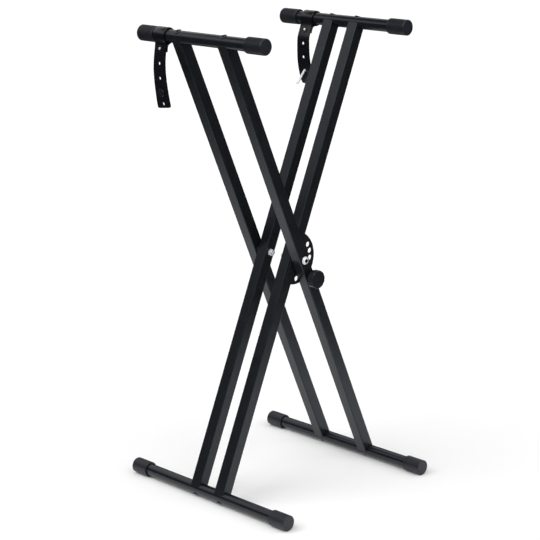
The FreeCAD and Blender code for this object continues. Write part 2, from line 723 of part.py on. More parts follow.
def pull_knob():
    """Fluted knob with a hollow back, a hub and a blind hole for the pin's stem."""
    body = start_body("pull_knob")
    rim = size("knob_diameter") / 2
    hub = size("knob_hub") / 2
    skirt = rim - size("knob_shell") - size("flute_depth")
    stem = size("stem_diameter") / 2 + size("fit")
    stem_end = knob_back + size("stem_grip") + size("fit")
    web = knob_face - size("knob_shell") * 2
    profile = [(ZERO, stem_end), (stem, stem_end), (stem, knob_back), (hub, knob_back), (hub, web)]
    profile += [(skirt, web), (skirt, knob_back), (rim, knob_back), (rim, knob_face), (ZERO, knob_face)]
    turn(body, profile, "Knob")
    round_edges(body, size("knob_edge"), lambda edge: is_ring_at(edge, rim, knob_face), "FaceEdge")
    flute = sketch_on(body, "XY_Plane", "FluteSketch", knob_back)
    draw_circle(flute, size("flute_radius"), rim + size("flute_radius") - size("flute_depth"))
    flute_cut = cut(body, flute, "Flute", size("knob_length"))
    ring_of(body, flute_cut, flute, size("knob_flutes"), name="Flutes")
    seat_on_plunger(body)


# ---------------------------------------------------------------- rubber straps

class Station:
    """A point on a strap's middle line, in the XZ plane, with its heading."""

    def __init__(self, point, heading):
        self.point = point
        self.heading = heading

    def left(self):
        return Vector(-math.sin(self.heading), 0, math.cos(self.heading))

    def after(self, length, bend):
        """The station further on, along an arc that turns left by bend, or a straight."""
        if abs(bend) < SAME_TURN:
            step = Vector(math.cos(self.heading), 0, math.sin(self.heading)) * length
            return Station(self.point + step, self.heading)
        radius = length / bend
        centre = self.point + self.left() * radius
        turned = Station(self.point, self.heading + bend)
        return Station(centre - turned.left() * radius, turned.heading)


def trace(start, bends):
    """Stations at the start, middle and end of each bend of a route."""
    spans = []
    for length, bend in bends:
        spans.append((start, start.after(length / 2, bend / 2), start.after(length, bend)))
        start = spans[-1][2]
    return spans


def reach_over(station, side, radius):
    """Arc from a lap station to the loop about the origin: its length, bend and contact angle."""
    normal = station.left() * side
    lead = station.point.dot(normal)
    arc_radius = (station.point.dot(station.point) - radius ** 2) / (2 * (radius - lead))
    centre = station.point + normal * arc_radius
    contact = math.atan2(centre.z, centre.x)
    away = station.point - centre
    bend = (contact + math.pi - math.atan2(away.z, away.x) + math.pi) % (2 * math.pi) - math.pi
    return arc_radius * abs(bend), bend, contact


# A strap hangs from its loop: how far its lap lies out and down from the arm's axis, its lean
# there, and the bends of the tail below as (length, bend in degrees).
LEFT_HANG = {
    "lap": (-10.1, -26.3), "lean": 8.5,
    "tail": ((12.0, 0.0), (26.0, 8.0), (26.0, 7.0), (58.5, 5.5)),
}
RIGHT_HANG = {
    "lap": (-18.7, -23.4), "lean": 20.0,
    "tail": ((12.0, 0.0), (13.0, 19.0), (25.0, 3.0), (72.5, 24.2)),
}


class StrapShape:
    """The route of one strap: its loop, its lap and its hanging tail."""

    def __init__(self, hang):
        tube = size("tube_diameter").value / 2
        self.thickness = size("strap_thickness").value
        self.width = size("strap_width").value
        self.flare = size("strap_flare").value
        self.loop_radius = tube + size("strap_slack").value + self.thickness / 2
        out, down = hang["lap"]
        lean_angle = math.radians(hang["lean"])
        self.lap = Station(Vector(out, 0, down), math.pi / 2 - lean_angle)
        # Both layers stay flat under the eyelet, and part from each other just above it.
        self.flat = size("eyelet_diameter").value / 2 + size("lap_margin").value
        self.front_lap = self.lap.after(self.flat, 0.0)
        spread = self.thickness + size("lap_gap").value
        back_point = self.front_lap.point - self.front_lap.left() * spread
        self.back_lap = Station(back_point, self.front_lap.heading)
        self.tail_length = size("hole_pitch").value * 3 + size("last_hole").value + size("strap_end").value
        self.tail_bends = self.fitted(hang["tail"])

    def fitted(self, bends):
        """Tail bends scaled so that the tail has its own length."""
        drawn = sum(length for length, bend in bends)
        stretch = self.tail_length / drawn
        return [(length * stretch, math.radians(bend)) for length, bend in bends]

    def spans(self):
        """Every span of the strap, from the tail's end over the tube to the lapped end."""
        tail = trace(self.lap_down(), self.tail_bends)
        front_length, front_bend, front_contact = reach_over(self.front_lap, 1, self.loop_radius)
        back_length, back_bend, back_contact = reach_over(self.back_lap, -1, self.loop_radius)
        over = (front_contact - back_contact) % (2 * math.pi)
        bends = [(self.flat, 0.0), (front_length, front_bend), (self.loop_radius * over, -over)]
        bends += [(back_length, -back_bend), (self.flat + size("lap_length").value, 0.0)]
        return tail, trace(self.lap, bends)

    def lap_down(self):
        """The lap station turned to head down the tail."""
        return Station(self.lap.point, self.lap.heading + math.pi)

    def hole_station(self, distance):
        """The tail's middle line at a distance below the lap, heading down."""
        station = self.lap_down()
        for length, bend in self.tail_bends:
            if distance <= length:
                return station.after(distance, bend * distance / length)
            station = station.after(length, bend)
            distance -= length
        return station


def side_edges(spans, shift):
    """One side of a band: its spans shifted to the left of the way they run."""
    edges = []
    for span in spans:
        start, middle, end = (station.point + station.left() * shift for station in span)
        straight = (middle - start).cross(end - start).Length < SAME_TURN
        curve = Part.LineSegment(start, end) if straight else Part.Arc(start, middle, end)
        edges.append(curve.toShape())
    return edges


def strap(label, shape, arm_frame, place):
    """Rubber band looped over an arm, lapped behind its first hole, with its tail hanging."""
    tail, loop = shape.spans()
    half = shape.thickness / 2
    # The tail is traced downwards and the loop upwards, so their left sides are opposite.
    edges = side_edges(tail, half) + side_edges(tail, -half)
    edges += side_edges(loop, half) + side_edges(loop, -half)
    for last in (tail[-1][2], loop[-1][2]):
        side = last.left() * half
        edges.append(Part.LineSegment(last.point + side, last.point - side).toShape())
    outline = Part.Wire(Part.__sortEdges__(edges))
    broad = shape.flare + CUT_MARGIN * 2
    band = Part.Face(outline).extrude(Vector(0, broad, 0))
    band.translate(Vector(0, -broad / 2, 0))
    end = tail[-1][2]
    band = band.common(flare_block(band.BoundBox, shape, end.point.z))
    corners = [edge for edge in band.Edges if is_end_corner(edge, end, shape)]
    band = band.makeFillet(size("strap_corner").value, corners)
    pitch = size("hole_pitch").value
    for distance in [0.0, pitch, 2 * pitch, 3 * pitch, 3 * pitch + size("last_hole").value]:
        radius = size("strap_hole").value / 2
        depth = shape.thickness
        if distance == 0.0:
            radius = eyelet_bore() + size("eyelet_wall").value + size("fit").value
            depth = 2 * shape.thickness + size("lap_gap").value
        station = shape.hole_station(distance)
        outward = station.left() * -1
        start = station.point + outward * (shape.thickness / 2 + CUT_MARGIN)
        band = band.cut(Part.makeCylinder(radius, depth + CUT_MARGIN * 2, start, outward * -1))
    feature = doc.addObject("Part::Feature", label)
    feature.Label = label
    feature.Shape = band.removeSplitter()
    nodes.append(feature)
    seat(feature, Placement(strap_seat(arm_frame, place), Rotation()))


def flare_block(box, shape, tail_end):
    """Block with the strap's front outline: its own width down to the lap, then flaring."""
    slope = (shape.flare - shape.width) / 2 / (shape.lap.point.z - tail_end)
    low = box.ZMin - CUT_MARGIN
    top = box.ZMax + CUT_MARGIN
    half = shape.width / 2
    foot = half + slope * (shape.lap.point.z - low)
    across = [(half, top), (half, shape.lap.point.z), (foot, low)]
    corners = across + [(-y, z) for y, z in reversed(across)]
    points = [Vector(box.XMin - CUT_MARGIN, y, z) for y, z in corners]
    face = Part.Face(Part.makePolygon(points + points[:1]))
    return face.extrude(Vector(box.XLength + CUT_MARGIN * 2, 0, 0))


def is_end_corner(edge, end, shape):
    """True for the two short edges across the strap's thickness at its tail end."""
    if edge.Curve.TypeId != "Part::GeomLine" or abs(edge.Length - shape.thickness) > SAME_LENGTH:
        return False
    return (edge.CenterOfMass - end.point).cross(UP_Y).Length < SAME_LENGTH


def strap_seat(arm_frame, place):
    """The point on an arm's axis that a strap hangs from."""
    arm = arm_frame.multVec(Vector(0, 0, size("arm_reach").value))
    return Vector(arm.x, place.value, arm.z)


def eyelet_bore():
    return size("strap_hole").value / 2


def seat_on_strap(body, station, arm_frame, place):
    """Put a turned piece on a strap: its +Z points out of the strap's outer face."""
    outward = station.left() * -1
    turned = Rotation(Vector(0, 0, 1), outward)
    seat(body, Placement(strap_seat(arm_frame, place), Rotation()), station.point, turned)


def strap_eyelet(label, shape, arm_frame, place):
    """Hollow eyelet that clamps the strap's lapped layers, open right through."""
    body = start_body(label)
    bore = size("strap_hole") / 2
    barrel = bore + size("eyelet_wall")
    flange = size("eyelet_diameter") / 2
    half = size("strap_thickness") / 2
    front = half + size("fit")
    back = -(half + size("lap_gap") + size("strap_thickness") + size("fit"))
    top = front + size("eyelet_height")
    bottom = back - size("eyelet_height")
    profile = [(bore, bottom), (flange, bottom), (flange, back), (barrel, back), (barrel, front)]
    profile += [(flange, front), (flange, top), (bore, top)]
    turn(body, profile, "Eyelet")
    round_edges(body, size("eyelet_height") / 2, lambda edge: is_ring_at(edge, flange, top), "Rim")
    seat_on_strap(body, shape.hole_station(0.0), arm_frame, place)


def strap_button(label, shape, arm_frame, place):
    """Round button through the fourth hole, with a flange that holds it behind."""
    body = start_body(label)
    half = size("strap_thickness") / 2
    shank = size("strap_hole") / 2 - size("fit")
    front = half + size("seat_gap")
    top = front + size("button_height")
    head = size("button_diameter") / 2
    foot = size("button_foot") / 2
    back = -(half + size("seat_gap"))
    bottom = back - size("foot_height")
    profile = [(ZERO, bottom), (foot, bottom), (foot, back), (shank, back), (shank, front)]
    profile += [(head, front), (head, top), (ZERO, top)]
    turn(body, profile, "Button")
    round_edges(body, size("button_height") / 2, lambda edge: is_ring_at(edge, head, top), "Rim")
    station = shape.hole_station(3 * size("hole_pitch").value)
    seat_on_strap(body, station, arm_frame, place)


def strap_peg(label, shape, arm_frame, place):
    """Bent steel peg riveted into the fourth hole of the right strap."""
    body = start_body(label)
    half = size("strap_thickness") / 2
    back = -(half + size("seat_gap"))
    front = half + size("seat_gap")
    shank = size("strap_hole") / 2 - size("fit")
    head = size("peg_head") / 2
    profile = [(ZERO, back - size("foot_height")), (head, back - size("foot_height")), (head, back)]
    profile += [(shank, back), (shank, front), (ZERO, front)]
    turn(body, profile, "Rivet")
    spine = sketch_on(body, "XZ_Plane", "SpineSketch")
    bend, slant = size("peg_bend").value, math.radians(size("peg_slant").value)
    knee = Vector(0, front.value, 0)
    centre = knee - Vector(bend, 0, 0)
    bent = centre + Vector(math.cos(slant), math.sin(slant), 0) * bend
    tip = bent + Vector(-math.sin(slant), math.cos(slant), 0) * size("peg_length").value
    spine.addGeometry(Part.LineSegment(Vector(0, 0, 0), knee))
    spine.addGeometry(Part.ArcOfCircle(Part.Circle(centre, Vector(0, 0, 1), bend), 0, slant))
    spine.addGeometry(Part.LineSegment(bent, tip))
    spine.addConstraint(Sketcher.Constraint("Coincident", 0, 1, -1, 1))
    spine.addConstraint(Sketcher.Constraint("Vertical", 0))
    spine.addConstraint(Sketcher.Constraint("Tangent", 0, 2, 1, 1))
    spine.addConstraint(Sketcher.Constraint("Tangent", 1, 2, 2, 1))
    hold(spine, "DistanceY", 0, 2, front)
    for kind, geometry, measure in (("Radius", 1, size("peg_bend")), ("Distance", 2, size("peg_length"))):
        index = spine.addConstraint(Sketcher.Constraint(kind, geometry, measure.value))
        spine.setExpression(f"Constraints[{index}]", measure.text)
    index = spine.addConstraint(Sketcher.Constraint("Angle", 1, slant))
    spine.setExpression(f"Constraints[{index}]", f"{size('peg_slant').text} * 1 deg")
    section = sketch_on(body, "XY_Plane", "RodSketch")
    draw_circle(section, size("peg_diameter") / 2)
    rod = body.newObject("PartDesign::AdditivePipe", "Rod")
    rod.Profile = section
    rod.Spine = (spine, ["Edge1", "Edge2", "Edge3"])
    doc.recompute()
    station = shape.hole_station(3 * size("hole_pitch").value)
    seat_on_strap(body, station, arm_frame, place)


# ---------------------------------------------------------------- the stand

def build_frame(side_name, frame, offset, arm_name, foot_name):
    """One crossed frame: two legs, an arm, a foot tube and all that holds them together."""
    for place, side in (("front", -1), ("rear", 1)):
        leg_offset = offset * side
        has_plunger = side_name == "outer" and place == "front"
        square_leg(f"{side_name}_{place}_leg", frame, leg_offset, has_plunger)
    ends = ((arm_name, frame, "arm"), (foot_name, frame.multiply(TURN_OVER), "foot"))
    for name, end_frame, kind in ends:
        reach, length = size(f"{kind}_reach"), size(f"{kind}_length")
        cap_length = size(f"{kind}_cap_length")
        cross_tube(f"{name}_tube", end_frame, reach, length, offset)
        countersunk_screws(f"{name}_screws", end_frame, reach, offset)
        threaded_plugs(f"{name}_plugs", end_frame, reach, offset)
        for place, side in (("front", -1), ("rear", 1)):
            end_cap(f"{name}_{place}_cap", end_frame, reach, length, cap_length, side, kind == "arm")
    crush_sleeves(f"{side_name}_pivot_sleeves", frame, offset)


def build_pivots():
    for place, side in (("front", -1), ("rear", 1)):
        pivot_bolt(f"{place}_pivot_bolt", side)
        lock_nut(f"{place}_pivot_nut", side)
        nut_ring(f"{place}_pivot_nut_ring", side)
        washers(f"{place}_pivot_washers", side)
        gap = size("leg_gap") - size("plate_thickness") if side < 0 else size("leg_gap")
        leg_spacer(f"{place}_leg_spacer", side, gap)


def build_plunger():
    plunger_barrel()
    pin_bush()
    lock_pin()
    plunger_spring()
    pull_knob()


def build_straps():
    left, right = StrapShape(LEFT_HANG), StrapShape(RIGHT_HANG)
    left_place, right_place = size("left_strap_place"), size("right_strap_place")
    strap("left_strap", left, OUTER, left_place)
    strap_eyelet("left_strap_eyelet", left, OUTER, left_place)
    strap_button("left_strap_button", left, OUTER, left_place)
    strap("right_strap", right, INNER, right_place)
    strap_eyelet("right_strap_eyelet", right, INNER, right_place)
    strap_peg("right_strap_peg", right, INNER, right_place)


def check_document():
    """Stop if any object failed, or any sub-part has no sound shape."""
    for item in doc.Objects:
        if "Invalid" in item.State or "Error" in item.State:
            raise RuntimeError(f"{item.Label} failed: {item.State}")
    for node in nodes:
        if node.Shape.isNull() or not node.Shape.isValid() or not node.Shape.Solids:
            raise RuntimeError(f"{node.Label} has no sound solid")


def export_parts():
    os.makedirs("parts", exist_ok=True)
    for node in nodes:
        node.Shape.exportStep(f"parts/{node.Label}.step")


build_frame("inner", INNER, size("inner_offset"), "right_arm", "left_foot")
build_frame("outer", OUTER, outer_offset, "left_arm", "right_foot")
stop_plate()
build_pivots()
build_plunger()
build_straps()
doc.recompute()
check_document()
export_parts()
print(len(nodes), "sub-parts")
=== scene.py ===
"""Folding keyboard stand: finishes for the steel frame, rubber straps and a small white studio."""

import json
import math

import bmesh
import bpy
from bpy.props import FloatProperty, FloatVectorProperty, PointerProperty
from mathutils import Matrix, Vector


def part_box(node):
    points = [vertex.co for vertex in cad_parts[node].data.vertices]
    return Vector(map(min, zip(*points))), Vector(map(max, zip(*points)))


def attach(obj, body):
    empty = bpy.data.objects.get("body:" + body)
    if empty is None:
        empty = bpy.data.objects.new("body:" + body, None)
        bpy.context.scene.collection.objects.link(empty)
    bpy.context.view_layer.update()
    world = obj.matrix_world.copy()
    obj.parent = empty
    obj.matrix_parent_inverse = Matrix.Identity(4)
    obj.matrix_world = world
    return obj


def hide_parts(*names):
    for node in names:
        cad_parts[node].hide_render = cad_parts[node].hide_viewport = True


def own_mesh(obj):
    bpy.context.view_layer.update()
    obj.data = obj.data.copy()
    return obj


bl_info = {
    "name": "Folding keyboard stand",
    "version": (1, 0, 0),
    "blender": (4, 5, 0),
    "location": "View3D > Sidebar > Stand",
    "description": "Dresses the keyboard stand's frame in paint, rubber and zinc, and sets its studio",
    "category": "Object",
}

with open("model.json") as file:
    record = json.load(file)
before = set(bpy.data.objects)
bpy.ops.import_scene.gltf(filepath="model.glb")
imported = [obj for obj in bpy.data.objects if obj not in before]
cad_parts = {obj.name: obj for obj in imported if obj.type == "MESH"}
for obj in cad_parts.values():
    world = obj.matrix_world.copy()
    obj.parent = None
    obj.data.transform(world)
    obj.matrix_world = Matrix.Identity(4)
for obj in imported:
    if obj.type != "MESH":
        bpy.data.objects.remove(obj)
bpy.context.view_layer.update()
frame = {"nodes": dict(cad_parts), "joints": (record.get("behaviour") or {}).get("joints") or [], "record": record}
NODES = frame["nodes"]
BODIES = frame["record"]["behaviour"]["bodies"]
BODY_OF = {node: body for body, nodes in BODIES.items() for node in nodes}
JOINTS = {joint["name"]: joint for joint in frame["joints"]}
SLOT_OF = {part["node"]: part["material_slot"] for part in frame["record"]["subparts"]}
FLOOR_WIDTH = 60.0
# The pivot bolts' heads: their height over their seat, and the radius, edge and colour of the shade painted into
# the socket.
BOLT_HEAD = 0.0042
SOCKET_RADIUS = 0.0042
SOCKET_BLUR = 0.0002
SOCKET_SHADE_COLOUR = (0.006, 0.006, 0.008)
# Colour of the black nylon, and how much darker than zinc the spring's wire is.
NYLON = (0.02, 0.02, 0.021)
SPRING_TINT = 0.7
# How much smoother the straps are than the caps.
STRAP_GLOSS = 0.18


def length_setting(name, description, default):
    return FloatProperty(name=name, description=description, default=default, unit="LENGTH")


def colour_setting(name, description, default):
    return FloatVectorProperty(
        name=name, description=description, default=default, subtype="COLOR", min=0.0, max=1.0
    )


def share_setting(name, description, default):
    return FloatProperty(
        name=name, description=description, default=default, subtype="FACTOR", min=0.0, max=1.0
    )


def strength_setting(name, description, default):
    return FloatProperty(name=name, description=description, default=default)


# ---------------------------------------------------------------- settings

class PaintSettings(bpy.types.PropertyGroup):
    """The satin powder coat on the legs, tubes and stop plate."""
    colour: colour_setting("Paint", "Colour of the powder coat", (0.0062, 0.0065, 0.0075))
    sheen_tint: colour_setting("Reflection tint", "Cool tint of the coat's reflections", (0.80, 0.87, 1.0))
    leg_roughness: share_setting("Leg roughness", "How matt the legs' coat is", 0.30)
    tube_roughness: share_setting("Tube roughness", "How matt the round tubes' coat is", 0.22)
    peel: length_setting("Orange peel", "Width of the dimples in the coat", 0.0016)


class RubberSettings(bpy.types.PropertyGroup):
    """The rubber of the end caps and straps."""
    cap_colour: colour_setting("Cap rubber", "Colour of the end caps", (0.0075, 0.0084, 0.0135))
    strap_colour: colour_setting("Strap rubber", "Colour of the straps", (0.0022, 0.0022, 0.0045))
    roughness: share_setting("Roughness", "How matt the rubber is", 0.45)
    grain: length_setting("Grain", "Size of the moulded grain", 0.0007)


class HardwareSettings(bpy.types.PropertyGroup):
    """Bolts, nuts, the lock knob and the small metal pieces."""
    zinc_colour: colour_setting("Zinc", "Colour of the plated nuts and bolts", (0.93, 0.93, 0.95))
    ring_colour: colour_setting("Lock ring", "Colour of the nuts' nylon rings", (0.05, 0.10, 0.26))
    knob_colour: colour_setting("Knob", "Colour of the pull knob", (0.0058, 0.0058, 0.0088))
    oxide_colour: colour_setting("Black screws", "Colour of the black screws", (0.045, 0.045, 0.05))


class StrapSettings(bpy.types.PropertyGroup):
    """The hanging rubber straps."""
    width: length_setting("Width", "Width of a strap at its loop", 0.033)
    flare: length_setting("Flare", "Width of a strap at its tail's end", 0.0395)
    thickness: length_setting("Thickness", "Thickness of a strap", 0.0035)
    edge: length_setting("Edge rounding", "Radius of the strap's long edges", 0.0011)
    hole: length_setting("Hole", "Diameter of the strap's holes", 0.0065)
    pitch: length_setting("Hole pitch", "Distance from hole to hole", 0.030)
    corner: length_setting("End corners", "Radius of the corners of a strap's end", 0.004)
    step: length_setting("Step", "Distance between the sections of a strap's mesh", 0.002)


class StudioSettings(bpy.types.PropertyGroup):
    """Lamps, floor and camera."""
    key: strength_setting("Key light", "Strength of the soft light from the left", 1.65)
    top: strength_setting("Top light", "Strength of the overhead light", 0.9)
    fill: strength_setting("Fill light", "Strength of the light from the right front", 1.3)
    patch: strength_setting("Lit patch", "Brightness of the card seen in edges", 5.0)
    ambient: strength_setting("Ambient", "Light from all round", 0.28)
    floor_white: share_setting("Floor", "Whiteness of the floor", 0.96)
    lit_floor: length_setting("Lit floor", "Reach of the bright floor seen in reflections", 0.65)
    lit_floor_end: length_setting("Lit floor's end", "Where the bright floor has faded", 1.25)
    wall_low: length_setting("Dark wall", "Height up to which reflections are dark", 1.8)
    wall_high: length_setting("Dark wall's end", "Height at which reflections are white again", 2.7)
    lens: FloatProperty(
        name="Lens", description="Focal length", default=111.29, subtype="DISTANCE_CAMERA"
    )


class StandSettings(bpy.types.PropertyGroup):
    """All the settings of the stand."""
    paint: PointerProperty(type=PaintSettings)
    rubber: PointerProperty(type=RubberSettings)
    hardware: PointerProperty(type=HardwareSettings)
    strap: PointerProperty(type=StrapSettings)
    studio: PointerProperty(type=StudioSettings)


def settings():
    return bpy.context.scene.keyboard_stand


# ---------------------------------------------------------------- materials

class Finish:
    """A material under construction, with shortcuts for its usual nodes."""

    def __init__(self, name):
        self.material = bpy.data.materials.new(name)
        self.material.use_nodes = True
        self.tree = self.material.node_tree
        self.shader = self.tree.nodes["Principled BSDF"]
        self.place = self.add("ShaderNodeTexCoord").outputs["Object"]

    def add(self, kind, **values):
        node = self.tree.nodes.new(kind)
        for name, value in values.items():
            setattr(node, name, value)
        return node

    def join(self, source, target):
        self.tree.links.new(source, target)

    def axes(self):
        """The X, Y and Z of the place, as sockets by name."""
        split = self.add("ShaderNodeSeparateXYZ")
        self.join(self.place, split.inputs["Vector"])
        return split.outputs

    def length_of(self, vector):
        node = self.add("ShaderNodeVectorMath", operation="LENGTH")
        self.join(vector, node.inputs[0])
        return node.outputs["Value"]

    def distance(self, axes, across, centre=(0.0, 0.0, 0.0)):
        """Distance from an axis through the centre, measured across two named axes."""
        flat = self.add("ShaderNodeCombineXYZ")
        for name in across:
            self.join(axes[name], flat.inputs[name])
        away = self.add("ShaderNodeVectorMath", operation="SUBTRACT")
        self.join(flat.outputs["Vector"], away.inputs[0])
        away.inputs[1].default_value = centre
        return self.length_of(away.outputs["Vector"])

    def noise(self, width, detail=2.0, stretch=(1.0, 1.0, 1.0)):
        """Noise whose patches are about a width across, in metres."""
        node = self.add("ShaderNodeTexNoise")
        node.inputs["Scale"].default_value = 1.0 / width
        node.inputs["Detail"].default_value = detail
        place = self.place
        if stretch != (1.0, 1.0, 1.0):
            mapping = self.add("ShaderNodeMapping")
            mapping.inputs["Scale"].default_value = stretch
            self.join(self.place, mapping.inputs["Vector"])
            place = mapping.outputs["Vector"]
        self.join(place, node.inputs["Vector"])
        return node.outputs["Fac"]

    def spread(self, source, low, high, start=0.3, end=0.7):
        """Map a value that runs from start to end onto a range from low to high."""
        node = self.add("ShaderNodeMapRange")
        for name, value in zip(("From Min", "From Max", "To Min", "To Max"), (start, end, low, high)):
            node.inputs[name].default_value = value
        self.join(source, node.inputs["Value"])
        return node.outputs["Result"]

    def blend(self, factor, first, second):
        """Mix two colours, given as colours or as sockets."""
        node = self.add("ShaderNodeMix", data_type="RGBA")
        self.join(factor, node.inputs["Factor"])
        for socket, colour in ((node.inputs[6], first), (node.inputs[7], second)):
            if isinstance(colour, bpy.types.NodeSocket):
                self.join(colour, socket)
            else:
                socket.default_value = (*colour[:3], 1.0)
        return node.outputs[2]

    def clouded(self, colour, dark, light, width, detail):
        """A colour that drifts between a darker and a lighter tint of itself."""
        drift = self.spread(self.noise(width, detail), 0.0, 1.0)
        return self.blend(drift, tint(colour, dark), tint(colour, light))

    def uneven(self, middle, below, above, width, detail=2.0):
        """A value that drifts from a little below its middle to a little above."""
        return self.spread(self.noise(width, detail), middle - below, middle + above)

    def bump(self, height, distance, strength, under=None):
        """Raise the surface by a height map; bumps can stack."""
        node = self.add("ShaderNodeBump")
        node.inputs["Distance"].default_value = distance
        node.inputs["Strength"].default_value = strength
        self.join(height, node.inputs["Height"])
        if under is not None:
            self.join(under, node.inputs["Normal"])
        return node.outputs["Normal"]

    def finish(self, colour=None, roughness=None, normal=None, **constants):
        for name, source in (("Base Color", colour), ("Roughness", roughness), ("Normal", normal)):
            if source is not None:
                self.join(source, self.shader.inputs[name])
        for name, value in constants.items():
            self.shader.inputs[name.replace("_", " ")].default_value = value
        return self.material


def tint(colour, amount):
    return tuple(min(1.0, part * amount) for part in colour[:3])


def powder_coat(name, paint, matt):
    """Satin black powder coat: faint orange peel, soft mottling and a little sheen change."""
    coat = Finish(name)
    colour = coat.clouded(paint.colour, dark=0.86, light=1.16, width=0.045, detail=3.0)
    roughness = coat.uneven(matt, below=0.03, above=0.04, width=0.02)
    peel = coat.bump(coat.noise(paint.peel, detail=1.0), distance=0.00002, strength=0.6)
    fine_noise = coat.noise(paint.peel / 4, detail=1.0)
    fine = coat.bump(fine_noise, distance=0.000006, strength=0.5, under=peel)
    return coat.finish(colour, roughness, fine, Specular_Tint=(*paint.sheen_tint, 1.0))


def moulded_rubber(name, colour, grain, roughness):
    """Matt black rubber with a fine moulded grain and faint bloom."""
    skin = Finish(name)
    tone = skin.clouded(colour, dark=0.88, light=1.25, width=0.012, detail=4.0)
    matt = skin.uneven(roughness, below=0.06, above=0.06, width=0.006, detail=3.0)
    grained = skin.bump(skin.noise(grain), distance=0.00003, strength=0.6)
    return skin.finish(tone, matt, grained)


def turning_marks(steel):
    """Fine streaks round the Y axis, which the bolts and nuts lie along."""
    streaks = steel.noise(width=0.0009, stretch=(1.0, 8.0, 1.0))
    return steel.bump(streaks, distance=0.00001, strength=0.5)


def plated_steel(name, colour, roughness, metallic=1.0):
    """Plated steel with faint clouding and turning marks."""
    steel = Finish(name)
    tone = steel.clouded(colour, dark=0.82, light=1.05, width=0.003, detail=3.0)
    gloss = steel.uneven(roughness, below=0.07, above=0.09, width=0.0015)
    return steel.finish(tone, gloss, turning_marks(steel), Metallic=metallic)


def socket_shade_steel(name, colour, axis_height, head_seat):
    """Plated steel of a pivot bolt, with painted shade darkening the socket of its head."""
    steel = Finish(name)
    axes = steel.axes()
    radius = steel.distance(axes, ("X", "Z"), (0.0, 0.0, axis_height))
    inside = steel.spread(radius, 1.0, 0.0, SOCKET_RADIUS, SOCKET_RADIUS + SOCKET_BLUR)
    reach = steel.add("ShaderNodeMath", operation="ABSOLUTE")
    steel.join(axes["Y"], reach.inputs[0])
    outside = steel.spread(reach.outputs[0], 0.0, 1.0, head_seat, head_seat + SOCKET_BLUR)
    # Painted shade: inside the socket's radius and beyond the head's seat, the colour goes dark.
    socket = steel.add("ShaderNodeMath", operation="MULTIPLY")
    steel.join(inside, socket.inputs[0])
    steel.join(outside, socket.inputs[1])
    bright = steel.clouded(colour, dark=0.85, light=1.05, width=0.003, detail=3.0)
    tone = steel.blend(socket.outputs[0], bright, SOCKET_SHADE_COLOUR)
    gloss = steel.uneven(0.41, below=0.07, above=0.07, width=0.0015)
    return steel.finish(tone, gloss, turning_marks(steel), Metallic=0.4)


def oxide_steel(name, colour):
    """Black-oxide steel of the countersunk screws, the barrel and the eyelets."""
    steel = Finish(name)
    tone = steel.clouded(colour, dark=0.7, light=1.3, width=0.002, detail=3.0)
    gloss = steel.uneven(0.42, below=0.08, above=0.08, width=0.001)
    pits = steel.bump(steel.noise(width=0.0005), distance=0.00001, strength=0.4)
    return steel.finish(tone, gloss, pits, Metallic=0.85)


def moulded_plastic(name, colour, roughness):
    """Moulded plastic with a fine spark-eroded texture."""
    plastic = Finish(name)
    tone = plastic.clouded(colour, dark=0.9, light=1.15, width=0.008, detail=2.0)
    matt = plastic.uneven(roughness, below=0.05, above=0.06, width=0.004)
    spark = plastic.bump(plastic.noise(width=0.0004), distance=0.00002, strength=0.5)
    return plastic.finish(tone, matt, spark)


def dress_nodes(material, names):
    for name in names:
        mesh = NODES[name].data
        mesh.materials.clear()
        mesh.materials.append(material)


def dress(material, *slots):
    """Give a material to every CAD node of the named material slots."""
    dress_nodes(material, [node for node, slot in SLOT_OF.items() if slot in slots])


# ---------------------------------------------------------------- mesh helpers

def make_object(name, mesh, *materials):
    made = bpy.data.objects.new(name, mesh)
    bpy.context.scene.collection.objects.link(made)
    for material in materials:
        mesh.materials.append(material)
    return made


def mesh_from(name, points, faces, smooth=True):
    mesh = bpy.data.meshes.new(name)
    mesh.from_pydata([tuple(point) for point in points], [], faces)
    if smooth:
        mesh.polygons.foreach_set("use_smooth", [True] * len(mesh.polygons))
    mesh.update()
    return mesh


def face_outward(mesh):
    scratch = bmesh.new()
    scratch.from_mesh(mesh)
    bmesh.ops.recalc_face_normals(scratch, faces=scratch.faces)
    scratch.to_mesh(mesh)
    scratch.free()


def circle(radius, height, sides):
    """Points round the Z axis at a height."""
    turns = [2 * math.pi * i / sides for i in range(sides)]
    return [(radius * math.cos(turn), radius * math.sin(turn), height) for turn in turns]


def apply_modifiers(made):
    """Bake an object's modifiers into its mesh."""
    evaluated = made.evaluated_get(bpy.context.evaluated_depsgraph_get())
    mesh = bpy.data.meshes.new_from_object(evaluated)
    made.modifiers.clear()
    made.data = mesh
    return made


def rings_to_faces(count, ring, closed_ends=True):
    """Faces of a tube of equal rings of points."""
    faces = []
    for i in range(count - 1):
        for j in range(ring):
            k = (j + 1) % ring
            faces.append((i * ring + j, i * ring + k, (i + 1) * ring + k, (i + 1) * ring + j))
    if closed_ends:
        faces.append(tuple(reversed(range(ring))))
        faces.append(tuple((count - 1) * ring + j for j in range(ring)))
    return faces


# ---------------------------------------------------------------- straps

class Station:
    """A point on a strap's middle line, across X and Z, with its heading."""

    def __init__(self, point, heading):
        self.point = point
        self.heading = heading

    def left(self):
        return Vector((-math.sin(self.heading), 0.0, math.cos(self.heading)))

    def after(self, length, bend):
        """The station further on, along an arc that turns left by bend, or a straight."""
        if abs(bend) < 1e-9:
            step = Vector((math.cos(self.heading), 0.0, math.sin(self.heading))) * length
            return Station(self.point + step, self.heading)
        radius = length / bend
        centre = self.point + self.left() * radius
        turned = Station(self.point, self.heading + bend)
        return Station(centre - turned.left() * radius, turned.heading)


